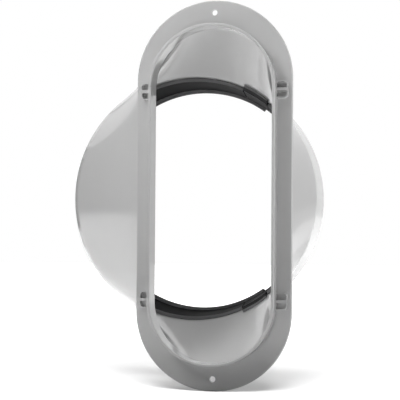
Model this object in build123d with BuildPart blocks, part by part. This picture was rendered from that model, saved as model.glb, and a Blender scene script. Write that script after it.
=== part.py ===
"""Window vent hose adapter: a flat window mouth that widens into an offset round hose collar.

Frame, in millimetres: the origin is the centre of the flange's seat face. +Z runs up along
the mouth's long axis, -Y points out through the window and +Y points to the hose.
"""
from build123d import *
from math import asin, cos, degrees, radians, sin
import os

# Spigot that goes through the window panel
spigot_length = 216.6
spigot_width = 81.8
spigot_height = 10.0
spigot_wall = 2.0
spigot_edge_chamfer = 0.45

# Window flange round the spigot, wider at its ends than at its sides
flange_end_margin = 15.7
flange_side_margin = 9.6
flange_thickness = 2.4
flange_edge_chamfer = 0.6

# Screw holes, one at each end of the flange
screw_edge_distance = 7.7
screw_hole_diameter = 3.8

# Hollow locating lugs beside the spigot, near the ends of its straight sides
lug_inset = 0.9
lug_width = 11.4
lug_reach = 7.1
lug_height = 2.4
lug_wall = 1.0
lug_rib = 2.0
lug_floor = 0.8
lug_corner_radius = 3.0

# Funnel and round collar
collar_start = 60.0
collar_length = 32.0
collar_diameter = 169.0
collar_wall = 2.2
collar_offset = -27.0
collar_edge_chamfer = 0.6
wall_setback = 0.6

# Hose ring in the collar
ring_clearance = 0.3
ring_front_gap = 0.5
ring_rear_recess = 0.4
ring_front_wall = 2.0
ring_taper = 3.1
ring_skin = 2.2
ring_lead_in = 1.6
ring_land = 6.0
rib_height = 1.9
rib_width = 1.5
rib_spacing = 3.6
rib_count = 2
rib_flank = 0.7
rib_gap_angle = 47.0
rib_gap_span = 16.0
rear_flange_thickness = 3.2

# Annular snap bead between the ring and the collar
bead_height = 0.8
bead_width = 1.4

# Snap fingers at the front of the ring
finger_angle = 58.5
finger_width = 18.6
finger_reach = 11.1
finger_thickness = 1.9
finger_lean = 0.6
finger_tip_radius = 0.9
finger_seat = 4.5
finger_inset = 0.15
finger_slot = 0.8
finger_slot_depth = 20.0
catch_depth = 2.0
catch_ledge = 2.2

# Sizes that follow from the ones above
flange_length = spigot_length + 2 * flange_end_margin
flange_width = spigot_width + 2 * flange_side_margin
screw_spacing = flange_length - 2 * screw_edge_distance
spigot_end_radius = spigot_width / 2
spigot_centre = spigot_length / 2 - spigot_end_radius
mouth_end_radius = spigot_end_radius - spigot_wall
lug_spacing = 2 * (spigot_centre - lug_inset)
throat_y = flange_thickness + wall_setback
collar_end = collar_start + collar_length
collar_radius = collar_diameter / 2
bore_radius = collar_radius - collar_wall
bore_start = collar_start + wall_setback
ring_radius = bore_radius - ring_clearance
ring_front = bore_start + ring_front_gap
ring_rear = collar_end - ring_rear_recess
skin_front = ring_radius - ring_front_wall
skin_rear = skin_front - ring_taper
hose_radius = skin_rear - rib_height
ring_axis = Axis((collar_offset, 0, 0), (0, 1, 0))


def section(y):
    """Cross-section plane at depth y, with X to the right and Z up."""
    return Plane.XZ.offset(-y)


def radial_plane(angle):
    """Plane through the collar's axis: local x is the radius and local y is the depth."""
    turn = radians(angle)
    return Plane(origin=(collar_offset, 0, 0), x_dir=(cos(turn), 0, sin(turn)),
                 z_dir=(-sin(turn), 0, cos(turn)))


def mouth_lines(centre, radius):
    """Long mouth outline: two straight sides joined by half circles."""
    Line((radius, -centre), (radius, centre))
    ThreePointArc((radius, centre), (0, centre + radius), (-radius, centre))
    Line((-radius, centre), (-radius, -centre))
    ThreePointArc((-radius, -centre), (0, -centre - radius), (radius, -centre))


def funnel(front, rear, end_radius, circle_radius, mode=Mode.ADD):
    """Body from the mouth to the collar: a wedge with flat flanks between two oblique half cones.

    Each straight side of the mouth runs to one point of the collar, and each end to half of it,
    so the flat flanks are tangent to the cones and no edge shows between them.
    """
    with Locations((-end_radius, front, -spigot_centre)):
        Wedge(
            xsize=2 * end_radius,
            ysize=rear - front,
            zsize=2 * spigot_centre,
            xmin=end_radius + collar_offset - circle_radius,
            zmin=spigot_centre,
            xmax=end_radius + collar_offset + circle_radius,
            zmax=spigot_centre,
            align=None,
            mode=mode,
        )
    for end in (-1, 1):
        with BuildSketch(section(front)) as mouth_half:
            with BuildLine():
                CenterArc((0, end * spigot_centre), end_radius, 0, end * 180)
                Line((-end_radius, end * spigot_centre), (end_radius, end * spigot_centre))
            make_face()
        with BuildSketch(section(rear)) as collar_half:
            with BuildLine():
                CenterArc((collar_offset, 0), circle_radius, 0, end * 180)
                Line((collar_offset - circle_radius, 0), (collar_offset + circle_radius, 0))
            make_face()
        loft([mouth_half.sketch.face(), collar_half.sketch.face()], ruled=True, mode=mode)


# Adapter body: flange, spigot, lugs, funnel and collar in one moulding
flange_end_radius = flange_width / 2
flange_centre = flange_length / 2 - flange_end_radius
pocket_depth = lug_height + flange_thickness - lug_floor
finger_half_angle = degrees(asin(finger_width / 2 / ring_radius))
catch_half_angle = degrees(asin((finger_width / 2 + ring_clearance) / ring_radius))
catch_radius = bore_radius + catch_depth
catch_rear = bore_start - catch_ledge
bead_centre = ring_rear - rear_flange_thickness / 2

with BuildPart() as adapter_body:
    with BuildSketch(section(0)):
        with BuildLine():
            mouth_lines(flange_centre, flange_end_radius)
        make_face()
    extrude(amount=-flange_thickness)
    plate_faces = adapter_body.faces().sort_by(Axis.Y)
    chamfer(plate_faces[0].edges() + plate_faces[-1].edges(), flange_edge_chamfer)

    with BuildSketch(section(-spigot_height)):
        with BuildLine():
            mouth_lines(spigot_centre, spigot_end_radius)
        make_face()
    extrude(amount=-spigot_height - flange_thickness)

    with BuildSketch(section(-lug_height)):
        with GridLocations(2 * spigot_end_radius, lug_spacing, 2, 2):
            RectangleRounded(2 * lug_reach, lug_width, lug_corner_radius)
    extrude(amount=-lug_height - flange_thickness)

    funnel(flange_thickness, collar_start, spigot_end_radius, collar_radius)
    with BuildSketch(section(collar_start)):
        with Locations((collar_offset, 0)):
            Circle(collar_radius)
    extrude(amount=-collar_length)

    # Air way from the mouth to the collar
    with BuildSketch(section(-spigot_height)):
        with BuildLine():
            mouth_lines(spigot_centre, mouth_end_radius)
        make_face()
    extrude(amount=-spigot_height - throat_y, mode=Mode.SUBTRACT)
    funnel(throat_y, bore_start, mouth_end_radius, bore_radius, mode=Mode.SUBTRACT)
    with BuildSketch(section(bore_start)):
        with Locations((collar_offset, 0)):
            Circle(bore_radius)
    extrude(amount=bore_start - collar_end, mode=Mode.SUBTRACT)

    # Groove that takes the ring's bead
    with BuildSketch(section(bead_centre - bead_width / 2 - ring_clearance)):
        with Locations((collar_offset, 0)):
            Circle(bore_radius + bead_height)
    extrude(amount=-bead_width - 2 * ring_clearance, mode=Mode.SUBTRACT)

    # Catches for the snap fingers, cut into the funnel's inner face
    for angle in (finger_angle, -finger_angle):
        with BuildSketch(radial_plane(angle + catch_half_angle)):
            with Locations(((hose_radius + catch_radius) / 2, catch_rear - finger_reach / 2)):
                Rectangle(catch_radius - hose_radius, finger_reach)
        revolve(axis=ring_axis, revolution_arc=2 * catch_half_angle, mode=Mode.SUBTRACT)

    # Pockets of the lugs, outside the spigot's wall and each crossed by one rib
    with BuildSketch(section(-lug_height)):
        with GridLocations(2 * spigot_end_radius, lug_spacing, 2, 2):
            RectangleRounded(
                2 * (lug_reach - lug_wall),
                lug_width - 2 * lug_wall,
                lug_corner_radius - lug_wall,
            )
            Rectangle(2 * lug_reach, lug_rib, mode=Mode.SUBTRACT)
        with BuildLine():
            mouth_lines(spigot_centre, spigot_end_radius)
        make_face(mode=Mode.SUBTRACT)
    extrude(amount=-pocket_depth, mode=Mode.SUBTRACT)

    with Locations(section(0)):
        with GridLocations(screw_spacing, screw_spacing, 1, 2):
            Hole(screw_hole_diameter / 2, depth=flange_thickness)

    rim_face = adapter_body.faces().sort_by(Axis.Y)[0]
    chamfer(rim_face.edges(), spigot_edge_chamfer)
    collar_face = adapter_body.faces().sort_by(Axis.Y)[-1]
    chamfer(collar_face.edges(), collar_edge_chamfer)

adapter_body.part.label = "adapter_body"

# Hose ring: tapered skin, inner hose ribs, rear flange with its bead, and two snap fingers
rib_root = skin_rear + ring_skin / 2
ribs_start = ring_rear - rib_spacing * (rib_count - 1) - rib_width - 2 * rib_flank
flange_front = ring_rear - rear_flange_thickness
finger_tip = ring_front - finger_reach
finger_root = ring_front + finger_seat
finger_outer = ring_radius - finger_inset
finger_inner = skin_front + finger_inset
barb_rear = catch_rear - ring_clearance
barb_radius = catch_radius - ring_clearance
tip_radius = barb_radius + finger_lean
slot_angle = finger_half_angle + degrees(finger_slot / 2 / ring_radius)
gap_angles = (-rib_gap_angle, rib_gap_angle, 180 - rib_gap_angle, 180 + rib_gap_angle, 360 - rib_gap_angle)

with BuildPart() as hose_ring:
    with BuildSketch(radial_plane(0)):
        with BuildLine():
            Polyline(
                (ring_radius, ring_front),
                (ring_radius, ring_front + ring_land),
                (skin_rear + ring_skin, flange_front),
                (ring_radius, flange_front),
                (ring_radius, ring_rear),
                (skin_rear, ring_rear),
                (skin_rear, ribs_start),
                (skin_front, ring_front + ring_lead_in),
                close=True,
            )
        make_face()
        with Locations((ring_radius, bead_centre)):
            Rectangle(2 * bead_height, bead_width)
    revolve(axis=ring_axis)

    # Inner ribs that hold the hose, in four arcs with gaps beside the fingers
    for arc_start, arc_end in zip(gap_angles[:-1], gap_angles[1:]):
        with BuildSketch(radial_plane(arc_end - rib_gap_span / 2)):
            for index in range(rib_count):
                rib_rear = ring_rear - index * rib_spacing
                with BuildLine():
                    Polyline(
                        (rib_root, rib_rear),
                        (skin_rear, rib_rear),
                        (hose_radius, rib_rear - rib_flank),
                        (hose_radius, rib_rear - rib_flank - rib_width),
                        (skin_rear, rib_rear - 2 * rib_flank - rib_width),
                        (rib_root, rib_rear - 2 * rib_flank - rib_width),
                        close=True,
                    )
                make_face()
        revolve(axis=ring_axis, revolution_arc=arc_end - arc_start - rib_gap_span)

    # Snap fingers: a leaning tip with its barb, set free by a slot on each side
    for angle in (finger_angle, -finger_angle):
        with BuildSketch(radial_plane(angle + slot_angle)) as finger_profile:
            with BuildLine():
                Polyline(
                    (finger_outer, finger_root),
                    (finger_outer, barb_rear),
                    (barb_radius, barb_rear),
                    (tip_radius, finger_tip),
                    (tip_radius - finger_thickness, finger_tip),
                    (finger_inner, ring_front + ring_lead_in),
                    (finger_inner, finger_root),
                    close=True,
                )
            make_face()
            fillet(finger_profile.vertices().group_by(Axis.Y)[0], finger_tip_radius)
        revolve(axis=ring_axis, revolution_arc=2 * slot_angle)
        for side in (-1, 1):
            with BuildSketch(radial_plane(angle + side * slot_angle)):
                with Locations((tip_radius, ring_front)):
                    Rectangle(2 * (tip_radius - hose_radius), 2 * finger_slot_depth)
            extrude(amount=finger_slot / 2, both=True, mode=Mode.SUBTRACT)

hose_ring.part.label = "hose_ring"

os.makedirs("parts", exist_ok=True)
export_step(adapter_body.part, "parts/adapter_body.step")
export_step(hose_ring.part, "parts/hose_ring.step")
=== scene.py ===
"""Looks of the window vent hose adapter: shown shells, plastics, floor, studio light and camera."""
import math

import bmesh
import bpy
from mathutils import Matrix, Vector


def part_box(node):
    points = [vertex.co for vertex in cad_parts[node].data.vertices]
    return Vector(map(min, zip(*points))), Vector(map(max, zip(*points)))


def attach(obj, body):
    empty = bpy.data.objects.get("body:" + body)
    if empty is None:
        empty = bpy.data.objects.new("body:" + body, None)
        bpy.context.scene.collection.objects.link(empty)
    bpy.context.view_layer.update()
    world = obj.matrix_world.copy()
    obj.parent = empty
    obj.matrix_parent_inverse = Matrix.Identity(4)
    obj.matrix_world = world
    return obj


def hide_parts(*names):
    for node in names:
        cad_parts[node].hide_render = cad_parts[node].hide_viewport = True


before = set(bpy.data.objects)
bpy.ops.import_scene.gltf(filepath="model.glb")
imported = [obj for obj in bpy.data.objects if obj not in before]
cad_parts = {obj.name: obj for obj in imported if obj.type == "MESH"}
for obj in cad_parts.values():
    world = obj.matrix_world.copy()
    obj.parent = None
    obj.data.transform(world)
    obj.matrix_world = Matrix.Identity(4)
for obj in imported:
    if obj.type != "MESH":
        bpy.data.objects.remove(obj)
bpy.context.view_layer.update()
scene = bpy.context.scene

# Camera, fitted to the photograph
AZIMUTH = math.radians(12.5)
ELEVATION = math.radians(-2.1)
ROLL = math.radians(0.35)
DISTANCE = 0.89
FOCAL_PIXELS = 1404.0
IMAGE_PIXELS = 400.0
ORIGIN_PIXEL = (213.5, 195.1)
SENSOR_MM = 36.0

# Funnel of the body: outer and inner skin from the stadium mouth to the round collar
MOUTH_CENTRE = 0.0674
SPIGOT_RADIUS = 0.0409
MOUTH_RADIUS = 0.0389
COLLAR_X = -0.027
COLLAR_RADIUS = 0.0845
BORE_RADIUS = 0.0823
OUTER_FRONT = 0.0024
OUTER_REAR = 0.06
INNER_FRONT = 0.003
INNER_REAR = 0.0606
OVERLAP = 0.0004
TUCK = 0.00008
DEPTH_SLACK = 0.00001
AROUND = 240
ALONG = 20

# Snap fingers of the ring
FINGER_REACH = 0.0111
TIP_SHARE = 0.5

# Plastics
GREY_DARK = (0.565, 0.565, 0.565)
GREY_LIGHT = (0.585, 0.585, 0.585)
GREY_ROUGHNESS = (0.06, 0.10)
GREY_BUMP = 0.000003
GREY_SPECULAR = 0.5
BLACK_DARK = (0.009, 0.009, 0.0095)
BLACK_LIGHT = (0.013, 0.013, 0.014)
BLACK_ROUGHNESS = (0.5, 0.6)
BLACK_BUMP = 0.00002
BLACK_SPECULAR = 0.02
# Painted highlight: pale colour for the ring's edges that face the window, and the range of normals that
# get it
BLACK_LIP_HIGHLIGHT = (0.21, 0.21, 0.212)
LIP_HIGHLIGHT_FACING = (-0.35, -0.7)

# Floor under the lower end of the flange; ranges go by the distance from the origin
FLOOR_Z = -0.124
FLOOR_HALF = 6
FLOOR_ALBEDO = 0.82
GLOW_RANGE = (0.25, 0.9)
GLOW_LEVELS = (0.05, 1.0)
BOUNCE_RANGE = (0.125, 0.25)
BOUNCE_LEVELS = (0.05, 0.53)

# Cards and the lamps on the table
DARK_CARD = 0.03
PALE_CARD = 0.9
CARD_BEHIND_Y = -1.5
CARD_BEHIND_HALF = 2
CARD_BEHIND_TOP = 1.6
GLOW_LIFT = 0.003
KEY_SPREAD = math.radians(50)
STRIP_SLOPE = math.radians(32.1)

# World's light, from the camera's side to the far side
ROOM_RANGE = (-0.3, 0.5)
ROOM_LEVELS = (0.05, 1.0)


def add_node(tree, kind, place, **values):
    """New node at a place in the tree, with its named input values set."""
    node = tree.nodes.new(kind)
    node.location = place
    for name, value in values.items():
        node.inputs[name.replace("_", " ")].default_value = value
    return node


def add_range(tree, place, reach, levels):
    """Node that maps a range of values onto two levels."""
    node = add_node(tree, "ShaderNodeMapRange", place)
    node.inputs["From Min"].default_value = reach[0]
    node.inputs["From Max"].default_value = reach[1]
    node.inputs["To Min"].default_value = levels[0]
    node.inputs["To Max"].default_value = levels[1]
    return node


def new_material(name):
    """Empty node material with its output node."""
    material = bpy.data.materials.new(name)
    material.use_nodes = True
    tree = material.node_tree
    tree.nodes.clear()
    output = add_node(tree, "ShaderNodeOutputMaterial", (900, 0))
    return material, tree, output


def moulded_plastic(name, dark, light, roughness, bump_height, specular):
    """Moulded plastic: faint flow mottling, uneven gloss and a fine skin texture."""
    material, tree, output = new_material(name)
    link = tree.links.new
    shader = add_node(tree, "ShaderNodeBsdfPrincipled", (600, 0))
    shader.inputs["Specular IOR Level"].default_value = specular
    coords = add_node(tree, "ShaderNodeTexCoord", (-900, 0))

    mottle = add_node(tree, "ShaderNodeTexNoise", (-600, 250), Scale=14.0, Detail=4.0, Roughness=0.55)
    link(coords.outputs["Object"], mottle.inputs["Vector"])
    colours = add_node(tree, "ShaderNodeValToRGB", (-300, 250))
    colours.color_ramp.elements[0].position = 0.35
    colours.color_ramp.elements[0].color = (*dark, 1)
    colours.color_ramp.elements[1].position = 0.68
    colours.color_ramp.elements[1].color = (*light, 1)
    link(mottle.outputs["Fac"], colours.inputs["Fac"])
    link(colours.outputs["Color"], shader.inputs["Base Color"])

    haze = add_node(tree, "ShaderNodeTexNoise", (-600, 0), Scale=30.0, Detail=3.0, Roughness=0.6)
    link(coords.outputs["Object"], haze.inputs["Vector"])
    gloss = add_range(tree, (-300, 0), (0.3, 0.7), roughness)
    link(haze.outputs["Fac"], gloss.inputs["Value"])
    link(gloss.outputs["Result"], shader.inputs["Roughness"])

    skin = add_node(tree, "ShaderNodeTexNoise", (-600, -300), Scale=1400.0, Detail=2.0)
    link(coords.outputs["Object"], skin.inputs["Vector"])
    bump = add_node(tree, "ShaderNodeBump", (200, -300), Strength=0.35, Distance=bump_height)
    link(skin.outputs["Fac"], bump.inputs["Height"])
    link(bump.outputs["Normal"], shader.inputs["Normal"])
    link(shader.outputs["BSDF"], output.inputs["Surface"])
    return material


def paint_lip_highlight(material, highlight_colour):
    """Paint a highlight: the edges that face the window get a paler colour than the matt walls, standing in
    for the light they catch.
    """
    tree = material.node_tree
    link = tree.links.new
    shader = tree.nodes["Principled BSDF"]
    coords = add_node(tree, "ShaderNodeTexCoord", (-900, 600))
    split = add_node(tree, "ShaderNodeSeparateXYZ", (-700, 600))
    link(coords.outputs["Normal"], split.inputs["Vector"])
    # Mask of the painted highlight, 1 where the edge faces the window
    highlight_mask = add_range(tree, (-500, 600), LIP_HIGHLIGHT_FACING, (0.0, 1.0))
    link(split.outputs["Y"], highlight_mask.inputs["Value"])
    walls = shader.inputs["Base Color"].links[0].from_socket
    colour = add_node(tree, "ShaderNodeMix", (300, 500))
    colour.data_type = "RGBA"
    colour.inputs[7].default_value = (*highlight_colour, 1)
    link(highlight_mask.outputs["Result"], colour.inputs[0])
    link(walls, colour.inputs[6])
    link(colour.outputs[2], shader.inputs["Base Color"])


def camera_ray_mask(tree, place):
    """Value that is 1 for camera, glossy and transmission rays."""
    path = add_node(tree, "ShaderNodeLightPath", place)
    first = add_node(tree, "ShaderNodeMath", (place[0] + 200, place[1]))
    first.operation = "MAXIMUM"
    tree.links.new(path.outputs["Is Camera Ray"], first.inputs[0])
    tree.links.new(path.outputs["Is Glossy Ray"], first.inputs[1])
    second = add_node(tree, "ShaderNodeMath", (place[0] + 400, place[1]))
    second.operation = "MAXIMUM"
    tree.links.new(first.outputs["Value"], second.inputs[0])
    tree.links.new(path.outputs["Is Transmission Ray"], second.inputs[1])
    return second.outputs["Value"]


def floor_look():
    """Floor that fades to white far from the object, keeps its shadow and lights its foot less."""
    material, tree, output = new_material("floor_look")
    link = tree.links.new
    coords = add_node(tree, "ShaderNodeTexCoord", (-900, -350))
    reach = add_node(tree, "ShaderNodeVectorMath", (-700, -350))
    reach.operation = "LENGTH"
    link(coords.outputs["Object"], reach.inputs[0])

    fade = add_range(tree, (-400, -350), GLOW_RANGE, GLOW_LEVELS)
    link(reach.outputs["Value"], fade.inputs["Value"])
    lift = add_node(tree, "ShaderNodeMath", (100, -100))
    lift.operation = "MULTIPLY"
    link(camera_ray_mask(tree, (-600, -100)), lift.inputs[0])
    link(fade.outputs["Result"], lift.inputs[1])
    glow = add_node(tree, "ShaderNodeEmission", (300, -100), Color=(1, 1, 1, 1))
    link(lift.outputs["Value"], glow.inputs["Strength"])

    bounce = add_range(tree, (-400, 300), BOUNCE_RANGE, BOUNCE_LEVELS)
    link(reach.outputs["Value"], bounce.inputs["Value"])
    path = add_node(tree, "ShaderNodeLightPath", (-400, 600))
    albedo = add_node(tree, "ShaderNodeMapRange", (0, 300))
    albedo.inputs["To Min"].default_value = FLOOR_ALBEDO
    link(path.outputs["Is Diffuse Ray"], albedo.inputs["Value"])
    link(bounce.outputs["Result"], albedo.inputs["To Max"])
    matte = add_node(tree, "ShaderNodeBsdfDiffuse", (300, 100))
    link(albedo.outputs["Result"], matte.inputs["Color"])

    both = add_node(tree, "ShaderNodeAddShader", (600, 0))
    link(matte.outputs["BSDF"], both.inputs[0])
    link(glow.outputs["Emission"], both.inputs[1])
    link(both.outputs["Shader"], output.inputs["Surface"])
    return material


def card_look(name, level):
    """Matt grey material of a card."""
    material, tree, output = new_material(name)
    felt = add_node(tree, "ShaderNodeBsdfDiffuse", (600, 0), Color=(level, level, level, 1))
    tree.links.new(felt.outputs["BSDF"], output.inputs["Surface"])
    return material


def studio_world():
    """World with a white background and softer light from the camera's side."""
    world = bpy.data.worlds.new("studio")
    world.use_nodes = True
    tree = world.node_tree
    tree.nodes.clear()
    link = tree.links.new
    output = add_node(tree, "ShaderNodeOutputWorld", (800, 0))
    white = add_node(tree, "ShaderNodeBackground", (300, 150), Color=(1, 1, 1, 1), Strength=1.0)
    room = add_node(tree, "ShaderNodeBackground", (300, -150), Strength=1.0)
    coords = add_node(tree, "ShaderNodeTexCoord", (-700, -150))
    split = add_node(tree, "ShaderNodeSeparateXYZ", (-500, -150))
    link(coords.outputs["Generated"], split.inputs["Vector"])
    depth = add_range(tree, (-300, -150), ROOM_RANGE, ROOM_LEVELS)
    link(split.outputs["Y"], depth.inputs["Value"])
    link(depth.outputs["Result"], room.inputs["Color"])
    mix = add_node(tree, "ShaderNodeMixShader", (550, 0))
    link(camera_ray_mask(tree, (-300, 350)), mix.inputs["Fac"])
    link(room.outputs["Background"], mix.inputs[1])
    link(white.outputs["Background"], mix.inputs[2])
    link(mix.outputs["Shader"], output.inputs["Surface"])
    return world


def matched_points(share, end_radius, round_radius):
    """Mouth and collar point at one share of the way round: each side of the mouth meets a quarter."""
    side, step = divmod(4 * share, 1)
    turn = 2 * math.pi * share - math.pi / 4
    collar = (COLLAR_X + round_radius * math.cos(turn), round_radius * math.sin(turn))
    along = MOUTH_CENTRE * (2 * step - 1)
    sweep = math.pi * step
    if side == 0:
        mouth = (end_radius, along)
    elif side == 1:
        mouth = (end_radius * math.cos(sweep), MOUTH_CENTRE + end_radius * math.sin(sweep))
    elif side == 2:
        mouth = (-end_radius, -along)
    else:
        mouth = (-end_radius * math.cos(sweep), -MOUTH_CENTRE - end_radius * math.sin(sweep))
    return Vector((mouth[0], 0, mouth[1])), Vector((collar[0], 0, collar[1]))


def add_skin(cage, end_radius, round_radius, front, rear, tuck, outward):
    """Add one smooth skin of the funnel; its ends are tucked into the flange and the collar."""
    shares = [index / AROUND for index in range(AROUND)]
    tucked = [matched_points(share, end_radius - tuck, round_radius - tuck) for share in shares]
    exact = [matched_points(share, end_radius, round_radius) for share in shares]
    levels = [(tucked, 0, front - OVERLAP)]
    for step in range(ALONG + 1):
        share = step / ALONG
        levels.append((exact, share, front + share * (rear - front)))
    levels.append((tucked, 1, rear + OVERLAP))
    rings = []
    for pairs, share, depth in levels:
        points = [mouth.lerp(collar, share) + Vector((0, depth, 0)) for mouth, collar in pairs]
        rings.append([cage.verts.new(point) for point in points])
    for near, far in zip(rings, rings[1:]):
        for index in range(AROUND):
            after = (index + 1) % AROUND
            corners = [near[index], far[index], far[after], near[after]]
            face = cage.faces.new(corners if outward else corners[::-1])
            face.smooth = True


def plane(name, corners, material):
    """Flat stage piece with four corners."""
    mesh = bpy.data.meshes.new(name)
    mesh.from_pydata(corners, [], [(0, 1, 2, 3)])
    mesh.materials.append(material)
    piece = bpy.data.objects.new(name, mesh)
    scene.collection.objects.link(piece)
    return piece


def softbox(name, place, target, width, height, power):
    """Rectangular lamp that points from its place to a target."""
    data = bpy.data.lights.new(name, "AREA")
    data.shape = "RECTANGLE"
    data.size = width
    data.size_y = height
    data.energy = power
    lamp = bpy.data.objects.new(name, data)
    lamp.location = place
    way = Vector(target) - Vector(place)
    lamp.rotation_euler = way.to_track_quat("-Z", "Y").to_euler()
    lamp.visible_camera = False
    scene.collection.objects.link(lamp)
    return lamp


# Plastics of the two shells
grey = moulded_plastic("grey_plastic_look", GREY_DARK, GREY_LIGHT, GREY_ROUGHNESS, GREY_BUMP, GREY_SPECULAR)
black = moulded_plastic(
    "black_plastic_look", BLACK_DARK, BLACK_LIGHT, BLACK_ROUGHNESS, BLACK_BUMP, BLACK_SPECULAR
)
# Painted highlight on the ring's edges that face the window
paint_lip_highlight(black, BLACK_LIP_HIGHLIGHT)

# Body with a funnel of matched outlines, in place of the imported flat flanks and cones
shell_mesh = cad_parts["adapter_body"].data.copy()
shell_mesh.name = "adapter_shell"
cage = bmesh.new()
cage.from_mesh(shell_mesh)
packed_funnel = []
for face in cage.faces:
    depths = [corner.co.y for corner in face.verts]
    if max(depths) > INNER_FRONT + DEPTH_SLACK and min(depths) < OUTER_REAR - DEPTH_SLACK:
        packed_funnel.append(face)
bmesh.ops.delete(cage, geom=packed_funnel, context="FACES")
add_skin(cage, SPIGOT_RADIUS, COLLAR_RADIUS, OUTER_FRONT, OUTER_REAR, TUCK, True)
add_skin(cage, MOUTH_RADIUS, BORE_RADIUS, INNER_FRONT, INNER_REAR, -TUCK, False)
cage.to_mesh(shell_mesh)
cage.free()
shell_mesh.materials[0] = grey
shell = bpy.data.objects.new("adapter_shell", shell_mesh)
scene.collection.objects.link(shell)
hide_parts("adapter_body")
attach(shell, "root")

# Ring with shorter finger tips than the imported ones, as the photograph shows them
ring_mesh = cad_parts["hose_ring"].data.copy()
ring_mesh.name = "ring_shell"
ring_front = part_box("hose_ring")[0][1] + FINGER_REACH
for corner in ring_mesh.vertices:
    if corner.co.y < ring_front:
        corner.co.y = ring_front + TIP_SHARE * (corner.co.y - ring_front)
ring_mesh.materials[0] = black
ring = bpy.data.objects.new("ring_shell", ring_mesh)
scene.collection.objects.link(ring)
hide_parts("hose_ring")
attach(ring, "root")

# Floor, white to the camera and with the object's shadow
floor_corners = [
    (-FLOOR_HALF, -FLOOR_HALF, FLOOR_Z),
    (FLOOR_HALF, -FLOOR_HALF, FLOOR_Z),
    (FLOOR_HALF, FLOOR_HALF, FLOOR_Z),
    (-FLOOR_HALF, FLOOR_HALF, FLOOR_Z),
]
floor = plane("floor", floor_corners, floor_look())

# Dark card behind the camera, so that the front is darker than the sides
dark_card = card_look("dark_card_look", DARK_CARD)
pale_card = card_look("pale_card_look", PALE_CARD)
front_corners = [
    (-CARD_BEHIND_HALF, CARD_BEHIND_Y, FLOOR_Z),
    (CARD_BEHIND_HALF, CARD_BEHIND_Y, FLOOR_Z),
    (CARD_BEHIND_HALF, CARD_BEHIND_Y, CARD_BEHIND_TOP),
    (-CARD_BEHIND_HALF, CARD_BEHIND_Y, CARD_BEHIND_TOP),
]
front_card = plane("front_card", front_corners, dark_card)
front_card.visible_camera = False

# Cards that only reflections see: dark ones at the left, a pale one high behind the collar
left_corners = [(-0.85, -1.4, 0.006), (-0.85, 1.6, 0.006), (-0.85, 1.6, 0.3), (-0.85, -1.4, 0.3)]
patch_corners = [(-0.8, 0.051, 0.006), (-0.8, 1.6, 0.006), (-0.8, 1.6, -0.12), (-0.8, 0.252, -0.12)]
back_corners = [(-0.7, 0.8, 0.35), (0.7, 0.8, 0.35), (0.7, 0.5, 1.3), (-0.7, 0.5, 1.3)]
reflected_cards = (
    ("left_card", left_corners, dark_card),
    ("left_patch", patch_corners, dark_card),
    ("back_card", back_corners, pale_card),
)
for card_name, corners, look in reflected_cards:
    card = plane(card_name, corners, look)
    card.visible_camera = False
    card.visible_diffuse = False
    card.visible_shadow = False

scene.world = studio_world()

# Lamps that light the object
key_box = softbox("key_box", (-0.28, -0.28, 0.38), (0, 0, 0.06), 0.25, 0.25, 0.165)
key_box.data.spread = KEY_SPREAD
softbox("right_box", (0.85, 0.0, 0.05), (0, 0.03, 0), 0.5, 0.5, 1.75)
top_box = softbox("top_box", (0, -0.3, 1.1), (0, 0, 0), 0.6, 0.6, 4.5)
top_box.visible_glossy = False
low_box = softbox("low_box", (-0.22, 0.06, -0.115), (-0.09, 0.05, -0.04), 0.12, 0.05, 0.037)
low_box.visible_glossy = False

# Lamp that lights the floor alone
floor_box = softbox("floor_box", (0.17, -1.0, 0.75), (0, 0.1, -0.12), 0.8, 0.5, 24.0)
floor_box.visible_glossy = False
floor_only = bpy.data.collections.new("floor_only")
floor_only.objects.link(floor)
floor_box.light_linking.receiver_collection = floor_only

# Lamps that only reflections see: the bright table in three parts, and a sloping strip at the left
table_glows = (
    ("left_glow", -0.475, 0.1, 0.65, 0.6, 1.16),
    ("middle_glow", 0.065, -0.12, 0.43, 0.96, 0.8),
    ("right_glow", 0.54, 0.2, 0.52, 1.6, 1.62),
)
for glow_name, across, along, width, height, power in table_glows:
    glow_place = (across, along, FLOOR_Z + GLOW_LIFT)
    table_glow = softbox(glow_name, glow_place, (across, along, 1), width, height, power)
    table_glow.visible_diffuse = False
left_box = softbox("left_box", (-0.8, 0.0755, -0.086), (0, 0.0755, -0.086), 1.2, 0.13, 0.32)
left_box.rotation_euler.rotate_axis("Z", STRIP_SLOPE)
left_box.visible_diffuse = False

# Camera
toward = Vector((
    math.sin(AZIMUTH) * math.cos(ELEVATION),
    -math.cos(AZIMUTH) * math.cos(ELEVATION),
    math.sin(ELEVATION),
))
right = Vector((math.cos(AZIMUTH), math.sin(AZIMUTH), 0))
up = toward.cross(right)
metres_per_pixel = DISTANCE / FOCAL_PIXELS
aim = right * (IMAGE_PIXELS / 2 - ORIGIN_PIXEL[0]) * metres_per_pixel
aim += up * (ORIGIN_PIXEL[1] - IMAGE_PIXELS / 2) * metres_per_pixel
place = toward * DISTANCE
back = (place - aim).normalized()
side = up.cross(back).normalized()
axes = Matrix((side, back.cross(side), back)).transposed().to_4x4()
camera_data = bpy.data.cameras.new("camera")
camera_data.sensor_width = SENSOR_MM
camera_data.lens = SENSOR_MM * FOCAL_PIXELS / IMAGE_PIXELS
camera_data.clip_start = 0.01
camera = bpy.data.objects.new("camera", camera_data)
camera.matrix_world = Matrix.Translation(place) @ axes @ Matrix.Rotation(ROLL, 4, "Z")
scene.collection.objects.link(camera)
scene.camera = camera

scene.view_settings.view_transform = "Standard"
